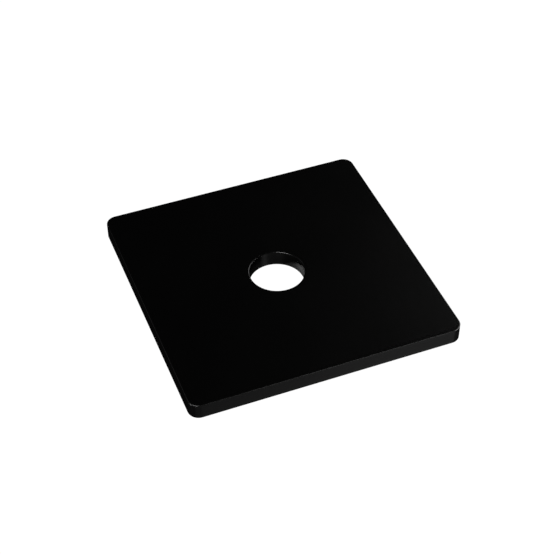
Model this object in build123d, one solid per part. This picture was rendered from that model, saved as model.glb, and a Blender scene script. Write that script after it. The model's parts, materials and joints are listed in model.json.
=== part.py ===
from build123d import *
import os

# A flat cap plate for the open end of a 50 mm square fence post.
# It is one piece of steel: a square with rounded corners and one round hole through its middle.
# Millimetres, +Z up. The origin is where the hole's axis meets the underside, which is the face
# that sits on the post.

SIDE = 50.0  # across the plate, flush with the outside of the post
THICKNESS = 3.2
CORNER_RADIUS = 2.0  # seen from above, close to the rounded corners of a square tube
HOLE_DIAMETER = 10.0
EDGE_ROUNDING = 0.2  # the softened edge along both outlines and both rims of the hole

PARTS_FOLDER = "parts"


def make_cap_plate():
    """The whole cap: the blank with its hole, and every sharp edge softened."""
    blank = RectangleRounded(SIDE, SIDE, CORNER_RADIUS) - Circle(HOLE_DIAMETER / 2)
    plate = extrude(blank, THICKNESS)
    top_and_underside = plate.faces().filter_by(Axis.Z)
    return fillet(top_and_underside.edges(), EDGE_ROUNDING)


def main():
    os.makedirs(PARTS_FOLDER, exist_ok=True)
    nodes = {"cap_plate": make_cap_plate()}
    for name, shape in nodes.items():
        export_step(shape, os.path.join(PARTS_FOLDER, name + ".step"))


main()
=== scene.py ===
"""The looks of a flat fence post cap: one steel plate in satin black powder coat, against plain white.

The plate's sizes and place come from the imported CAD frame. Metres, +Z up.
"""

import json
import math

import bpy
import numpy as np
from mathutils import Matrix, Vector


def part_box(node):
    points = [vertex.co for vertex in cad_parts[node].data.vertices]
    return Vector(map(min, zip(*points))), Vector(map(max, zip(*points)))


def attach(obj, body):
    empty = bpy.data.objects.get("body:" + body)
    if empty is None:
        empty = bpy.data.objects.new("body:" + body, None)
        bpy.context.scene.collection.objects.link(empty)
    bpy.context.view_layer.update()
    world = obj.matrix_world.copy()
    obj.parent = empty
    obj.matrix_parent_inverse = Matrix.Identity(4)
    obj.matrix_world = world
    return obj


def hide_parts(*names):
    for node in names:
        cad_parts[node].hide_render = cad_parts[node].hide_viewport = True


NODE = "cap_plate"
EDGE_ATTRIBUTE = "edge"
MM = 0.001

# The plate's mesh: how many steps follow each stretch of its shape.
HALF_SIDE_STEPS = 20
CORNER_STEPS = 20
ROUNDING_STEPS = 8
WALL_STEPS = 4
FACE_STEPS = 12
EDGE_BAND = 0.8 * MM  # how far the thinner coat of a rounded edge reaches onto the flats beside it
SIDE_TOLERANCE = 0.001 * MM  # how near the box's side a CAD vertex has to be to count as on it

# The coat. The grey of its colour (0 is black) and its roughness each start from a plain value, to
# which what follows is added: a slow drift over the plate, a fine grain for the roughness alone, and
# a change where an edge is softened.
BLACK = 0.0009
BLACK_DRIFT = 0.0006
BLACK_AT_EDGE = 0.001
ROUGHNESS = 0.25
ROUGHNESS_DRIFT = 0.04
ROUGHNESS_GRAIN = 0.04
ROUGHNESS_AT_EDGE = -0.03
DRIFT_GRAIN = 14 * MM
DRIFT_DETAIL = 3.0
PEEL_GRAIN = 1.3 * MM
PEEL_DEPTH = 0.012 * MM
FINE_GRAIN = 0.22 * MM
FINE_DEPTH = 0.0015 * MM
SMOOTHER_AT_EDGE = 0.8  # the share of the peel and the grain that is lost over a softened edge

# The camera: where it looks from, and how far off the middle of the top face it aims.
LENS_MM = 89.2
SENSOR_MM = 36.0
YAW = math.radians(21.473)
PITCH = math.radians(44.211)
DISTANCE_SIDES = 4.9485
AIM_BELOW_SIDES = 0.022
CLIP_START = 0.01

# The studio.
LAMP_DISTANCE = 0.8
WHITE_STRENGTH = 1.04  # the floor and the surround: a little over white, so that no noise shows in them
FLOOR_SIDE = 8.0

QUARTER_TURN = math.pi / 2


# ---------------------------------------------------------------- the plate


def plate_sizes(frame):
    """The plate's driving sizes, read from the frame: its box, its hole's mount and its corners."""
    low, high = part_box(NODE)
    bore = next(mount for mount in frame["record"]["mounts"] if mount["name"] == "centre_hole")
    half_side = high.x
    places = [vertex.co for vertex in frame["nodes"][NODE].data.vertices]
    flat_end = max(place.y for place in places if place.x > half_side - SIDE_TOLERANCE)
    return {
        "half_side": half_side,
        "bottom": low.z,
        "top": high.z,
        "corner_radius": half_side - flat_end,
        "hole_radius": bore["dims"]["r_mm"] * MM,
        "rounding": (high.z - low.z - bore["dims"]["length_mm"] * MM) / 2,
    }


def outline_quarter(half_side, corner_radius):
    """One quarter of the outline from the middle of the +X side to the middle of the +Y side, as
    rows of point and outward normal."""
    flat = half_side - corner_radius
    rows = []
    for i in range(HALF_SIDE_STEPS):
        rows.append((half_side, flat * i / HALF_SIDE_STEPS, 1.0, 0.0))
    for i in range(CORNER_STEPS):
        angle = QUARTER_TURN * i / CORNER_STEPS
        c, s = math.cos(angle), math.sin(angle)
        rows.append((flat + corner_radius * c, flat + corner_radius * s, c, s))
    for i in range(HALF_SIDE_STEPS):
        rows.append((flat * (1 - i / HALF_SIDE_STEPS), half_side, 0.0, 1.0))
    return rows


def plan_of_outline(sizes):
    """The outline's points and outward normals, going round anticlockwise."""
    quarter = np.array(outline_quarter(sizes["half_side"], sizes["corner_radius"]))
    points, normals = [], []
    for turn in range(4):
        angle = QUARTER_TURN * turn
        spin = np.array([[math.cos(angle), math.sin(angle)], [-math.sin(angle), math.cos(angle)]])
        points.append(quarter[:, :2] @ spin)
        normals.append(quarter[:, 2:] @ spin)
    return np.concatenate(points), np.concatenate(normals)


def plan_of_hole(sizes, count):
    """As many points round the hole as the outline has, with normals that point to its axis."""
    angles = 2 * math.pi * np.arange(count) / count
    outward = np.column_stack([np.cos(angles), np.sin(angles)])
    return outward * sizes["hole_radius"], -outward


def ring(plan, inset, z, tilt, up, edge):
    """One closed ring of vertices, as rows of position, normal and nearness to a rounded edge. tilt
    turns the normal from level to upright, and up is 1 in the top half and -1 in the lower half."""
    points, normals = plan
    level, upright = math.cos(tilt), up * math.sin(tilt)
    count = len(points)
    columns = [points - normals * inset, np.full(count, z), normals * level]
    return np.column_stack(columns + [np.full(count, upright), np.full(count, edge)])


def rounded_edge(plan, rounding, face_z, up):
    """Rings over one rounded edge, from the end of its band on the wall to the end on the flat face."""
    wall_end = face_z - up * (rounding + EDGE_BAND)
    rings = [ring(plan, 0.0, wall_end, 0.0, up, 0.0)]
    for step in range(ROUNDING_STEPS + 1):
        tilt = QUARTER_TURN * step / ROUNDING_STEPS
        inset = rounding * (1 - math.cos(tilt))
        z = face_z - up * rounding * (1 - math.sin(tilt))
        rings.append(ring(plan, inset, z, tilt, up, 1.0))
    rings.append(ring(plan, rounding + EDGE_BAND, face_z, QUARTER_TURN, up, 0.0))
    return rings


def between(first, last, steps):
    """The rings that divide the straight stretch from one ring to another."""
    return [first + (last - first) * step / steps for step in range(1, steps)]


def plate_rings(sizes):
    """Rings all the way round the plate's section: up the hole, over the top, down the outside and
    back underneath."""
    outline = plan_of_outline(sizes)
    hole = plan_of_hole(sizes, len(outline[0]))
    rounding = sizes["rounding"]
    hole_top = rounded_edge(hole, rounding, sizes["top"], 1)
    hole_bottom = rounded_edge(hole, rounding, sizes["bottom"], -1)
    outline_top = rounded_edge(outline, rounding, sizes["top"], 1)
    outline_bottom = rounded_edge(outline, rounding, sizes["bottom"], -1)
    return (
        hole_top
        + between(hole_top[-1], outline_top[-1], FACE_STEPS)
        + outline_top[::-1]
        + between(outline_top[0], outline_bottom[0], WALL_STEPS)
        + outline_bottom
        + between(outline_bottom[-1], hole_bottom[-1], FACE_STEPS)
        + hole_bottom[::-1]
        + between(hole_bottom[0], hole_top[0], WALL_STEPS)
    )


def make_plate(frame):
    """The plate as one closed mesh of four-sided faces, with the exact normal at every vertex."""
    rings = plate_rings(plate_sizes(frame))
    ring_count, count = len(rings), len(rings[0])
    rows = np.concatenate(rings)
    faces = []
    for j in range(ring_count):
        this, following = j * count, (j + 1) % ring_count * count
        for i in range(count):
            k = (i + 1) % count
            faces.append((this + i, following + i, following + k, this + k))
    mesh = bpy.data.meshes.new("cap_plate_mesh")
    mesh.from_pydata(rows[:, :3].tolist(), [], faces)
    mesh.polygons.foreach_set("use_smooth", [True] * len(faces))
    mesh.normals_split_custom_set_from_vertices(rows[:, 3:6].tolist())
    edge = mesh.attributes.new(EDGE_ATTRIBUTE, "FLOAT", "POINT")
    edge.data.foreach_set("value", rows[:, 6])
    plate = bpy.data.objects.new("cap_plate_coated", mesh)
    bpy.context.scene.collection.objects.link(plate)
    return plate


# ---------------------------------------------------------------- the finish


class Nodes:
    """A material's node tree, with a short way to add each kind of node that the coat uses."""

    def __init__(self, material):
        material.use_nodes = True
        self.tree = material.node_tree
        self.shader = self.tree.nodes["Principled BSDF"]
        self.place = self.tree.nodes.new("ShaderNodeTexCoord").outputs["Object"]

    def put(self, value, socket):
        """Links a node's output to the socket, or sets a number on it."""
        if isinstance(value, bpy.types.NodeSocket):
            self.tree.links.new(value, socket)
        else:
            socket.default_value = value

    def noise(self, grain, detail=2.0):
        """Cloudy noise from 0 to 1 whose lumps are about as wide as the grain, in metres."""
        node = self.tree.nodes.new("ShaderNodeTexNoise")
        node.inputs["Scale"].default_value = 1 / grain
        node.inputs["Detail"].default_value = detail
        self.put(self.place, node.inputs["Vector"])
        return node.outputs["Factor" if "Factor" in node.outputs else "Fac"]

    def attribute(self, name):
        """A number that the mesh carries at each of its vertices."""
        node = self.tree.nodes.new("ShaderNodeAttribute")
        node.attribute_name = name
        return node.outputs["Factor" if "Factor" in node.outputs else "Fac"]

    def math(self, operation, first, second, third=0.0):
        """One step of arithmetic on numbers or on other nodes' outputs."""
        node = self.tree.nodes.new("ShaderNodeMath")
        node.operation = operation
        for value, socket in zip((first, second, third), node.inputs):
            self.put(value, socket)
        return node.outputs["Value"]

    def vary(self, start, factor, amount):
        """start, plus the factor times the amount."""
        return self.math("MULTIPLY_ADD", factor, amount, start)

    def bump(self, height, distance, normal=None):
        """Dents and bumps as deep as the distance, over any that the normal already has."""
        node = self.tree.nodes.new("ShaderNodeBump")
        node.inputs["Distance"].default_value = distance
        self.put(height, node.inputs["Height"])
        if normal is not None:
            self.put(normal, node.inputs["Normal"])
        return node.outputs["Normal"]


def black_coat():
    """Satin black powder coat. The powder flows out into a faint orange peel with a finer grain in
    it, and its gloss and blackness drift a little over the plate. Over the softened edges the film
    is thinner: smoother, glossier and less deep a black."""
    material = bpy.data.materials.new("black_coat")
    nodes = Nodes(material)
    peel = nodes.noise(PEEL_GRAIN)
    fine = nodes.noise(FINE_GRAIN)
    drift = nodes.noise(DRIFT_GRAIN, detail=DRIFT_DETAIL)
    edge = nodes.attribute(EDGE_ATTRIBUTE)

    black = nodes.vary(nodes.vary(BLACK, drift, BLACK_DRIFT), edge, BLACK_AT_EDGE)
    colour = nodes.tree.nodes.new("ShaderNodeCombineColor")
    for channel in ("Red", "Green", "Blue"):
        nodes.put(black, colour.inputs[channel])
    nodes.put(colour.outputs["Color"], nodes.shader.inputs["Base Color"])

    roughness = nodes.vary(nodes.vary(ROUGHNESS, drift, ROUGHNESS_DRIFT), fine, ROUGHNESS_GRAIN)
    nodes.put(nodes.vary(roughness, edge, ROUGHNESS_AT_EDGE), nodes.shader.inputs["Roughness"])

    flow = nodes.vary(1.0, edge, -SMOOTHER_AT_EDGE)
    dents = nodes.bump(nodes.math("MULTIPLY", peel, flow), PEEL_DEPTH)
    grain = nodes.bump(nodes.math("MULTIPLY", fine, flow), FINE_DEPTH, dents)
    nodes.put(grain, nodes.shader.inputs["Normal"])
    return material


# ---------------------------------------------------------------- the studio


def white_light(tree):
    """The one plain white of the floor and the surround."""
    white = tree.nodes.new("ShaderNodeEmission")
    white.inputs["Strength"].default_value = WHITE_STRENGTH
    return white.outputs["Emission"]


def white_surround():
    """A world that is plain white to the camera and unlit to everything else, as a cut-out
    photograph has it."""
    world = bpy.data.worlds.new("white_surround")
    world.use_nodes = True
    tree = world.node_tree
    unlit = tree.nodes["Background"]
    unlit.inputs["Color"].default_value = (0, 0, 0, 1)
    seen = tree.nodes.new("ShaderNodeLightPath").outputs["Is Camera Ray"]
    choice = tree.nodes.new("ShaderNodeMixShader")
    tree.links.new(seen, choice.inputs["Fac"])
    tree.links.new(unlit.outputs["Background"], choice.inputs[1])
    tree.links.new(white_light(tree), choice.inputs[2])
    tree.links.new(choice.outputs["Shader"], tree.nodes["World Output"].inputs["Surface"])
    bpy.context.scene.world = world


def white_floor(height):
    """The plain floor that the plate lies on. Only the camera sees it, so it takes no shadow and
    throws no light back, and the lamps below it shine through."""
    corner = FLOOR_SIDE / 2
    around = [(-corner, -corner, height), (corner, -corner, height)]
    around += [(corner, corner, height), (-corner, corner, height)]
    mesh = bpy.data.meshes.new("floor")
    mesh.from_pydata(around, [], [range(len(around))])
    material = bpy.data.materials.new("white_floor")
    material.use_nodes = True
    tree = material.node_tree
    tree.links.new(white_light(tree), tree.nodes["Material Output"].inputs["Surface"])
    mesh.materials.append(material)
    floor = bpy.data.objects.new("floor", mesh)
    floor.visible_diffuse = False
    floor.visible_glossy = False
    floor.visible_transmission = False
    floor.visible_shadow = False
    bpy.context.scene.collection.objects.link(floor)


def add_lamp(name, shape, width, height, watts, place, aim):
    """An area lamp at the place, turned to the aim, that the camera doesn't see."""
    lamp = bpy.data.lights.new(name, "AREA")
    lamp.shape = shape
    lamp.size, lamp.size_y = width, height
    lamp.energy = watts
    holder = bpy.data.objects.new(name, lamp)
    holder.location = place
    holder.rotation_euler = (place - aim).to_track_quat("Z", "Y").to_euler()
    holder.visible_camera = False
    bpy.context.scene.collection.objects.link(holder)
    return lamp


def soft_box(name, aim, azimuth, elevation, width, height, watts):
    """A rectangular lamp at the studio's distance. Azimuth 0 is on the +X side and 90 on the +Y side."""
    a, e = math.radians(azimuth), math.radians(elevation)
    towards = Vector((math.cos(a) * math.cos(e), math.sin(a) * math.cos(e), math.sin(e)))
    add_lamp(name, "RECTANGLE", width, height, watts, aim + towards * LAMP_DISTANCE, aim)


def light_the_studio(high):
    """Soft boxes stand round the plate, most of them low or below it, so that its edges and the wall
    of its hole catch them and its top stays dark."""
    middle = Vector((0, 0, high.z))
    soft_box("left_low", middle, azimuth=190, elevation=-7, width=0.30, height=0.15, watts=1.9)
    soft_box("left_front", middle, azimuth=226, elevation=16, width=0.60, height=0.30, watts=5.7)
    soft_box("front_right", middle, azimuth=290, elevation=-7, width=0.20, height=0.15, watts=0.35)
    soft_box("right_low", middle, azimuth=330, elevation=-6, width=0.80, height=0.24, watts=6.0)
    soft_box("back_right", middle, azimuth=25, elevation=25, width=0.50, height=0.50, watts=1.7)
    soft_box("back_left", middle, azimuth=138, elevation=42, width=0.40, height=0.49, watts=0.18)
    soft_box("below_front", middle, azimuth=265, elevation=-48, width=0.90, height=0.35, watts=0.068)
    soft_box("below_right", middle, azimuth=304, elevation=-50, width=0.21, height=0.76, watts=0.095)


def light_the_hole():
    """A small lamp under the plate, whose narrow beam reaches one side of the hole's wall."""
    place = Vector((-15.7, 14.9, -4.8)) * MM
    wall = Vector((3.9, 3.1, 1.0)) * MM
    across = 2.7 * MM
    lamp = add_lamp("under_hole", "DISK", across, across, watts=0.0005, place=place, aim=wall)
    lamp.spread = math.radians(22)


def aim_camera(low, high):
    """The camera at the photograph's angle, level, aimed a little below the middle of the top face."""
    side = high.x - low.x
    forward = Vector(
        (math.sin(YAW) * math.cos(PITCH), math.cos(YAW) * math.cos(PITCH), -math.sin(PITCH))
    )
    turn = forward.to_track_quat("-Z", "Y")
    up = turn @ Vector((0, 1, 0))
    top_middle = Vector(((low.x + high.x) / 2, (low.y + high.y) / 2, high.z))
    aim = top_middle - up * AIM_BELOW_SIDES * side
    camera = bpy.data.cameras.new("camera")
    camera.sensor_width = SENSOR_MM
    camera.lens = LENS_MM
    holder = bpy.data.objects.new("camera", camera)
    holder.rotation_mode = "QUATERNION"
    holder.rotation_quaternion = turn
    holder.location = aim - forward * DISTANCE_SIDES * side
    camera.clip_start = CLIP_START
    bpy.context.scene.collection.objects.link(holder)
    bpy.context.scene.camera = holder


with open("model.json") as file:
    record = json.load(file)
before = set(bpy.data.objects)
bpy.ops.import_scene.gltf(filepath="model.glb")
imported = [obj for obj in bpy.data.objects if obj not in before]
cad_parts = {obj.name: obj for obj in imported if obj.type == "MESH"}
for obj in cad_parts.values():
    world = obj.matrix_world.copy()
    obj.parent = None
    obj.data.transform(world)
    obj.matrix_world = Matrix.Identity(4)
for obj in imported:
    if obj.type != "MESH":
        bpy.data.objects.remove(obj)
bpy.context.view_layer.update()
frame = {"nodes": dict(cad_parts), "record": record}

plate = make_plate(frame)
plate.data.materials.append(black_coat())
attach(plate, "root")
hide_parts(NODE)

low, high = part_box(NODE)
white_surround()
white_floor(low.z)
light_the_studio(high)
light_the_hole()
aim_camera(low, high)
bpy.context.scene.view_settings.view_transform = "Standard"
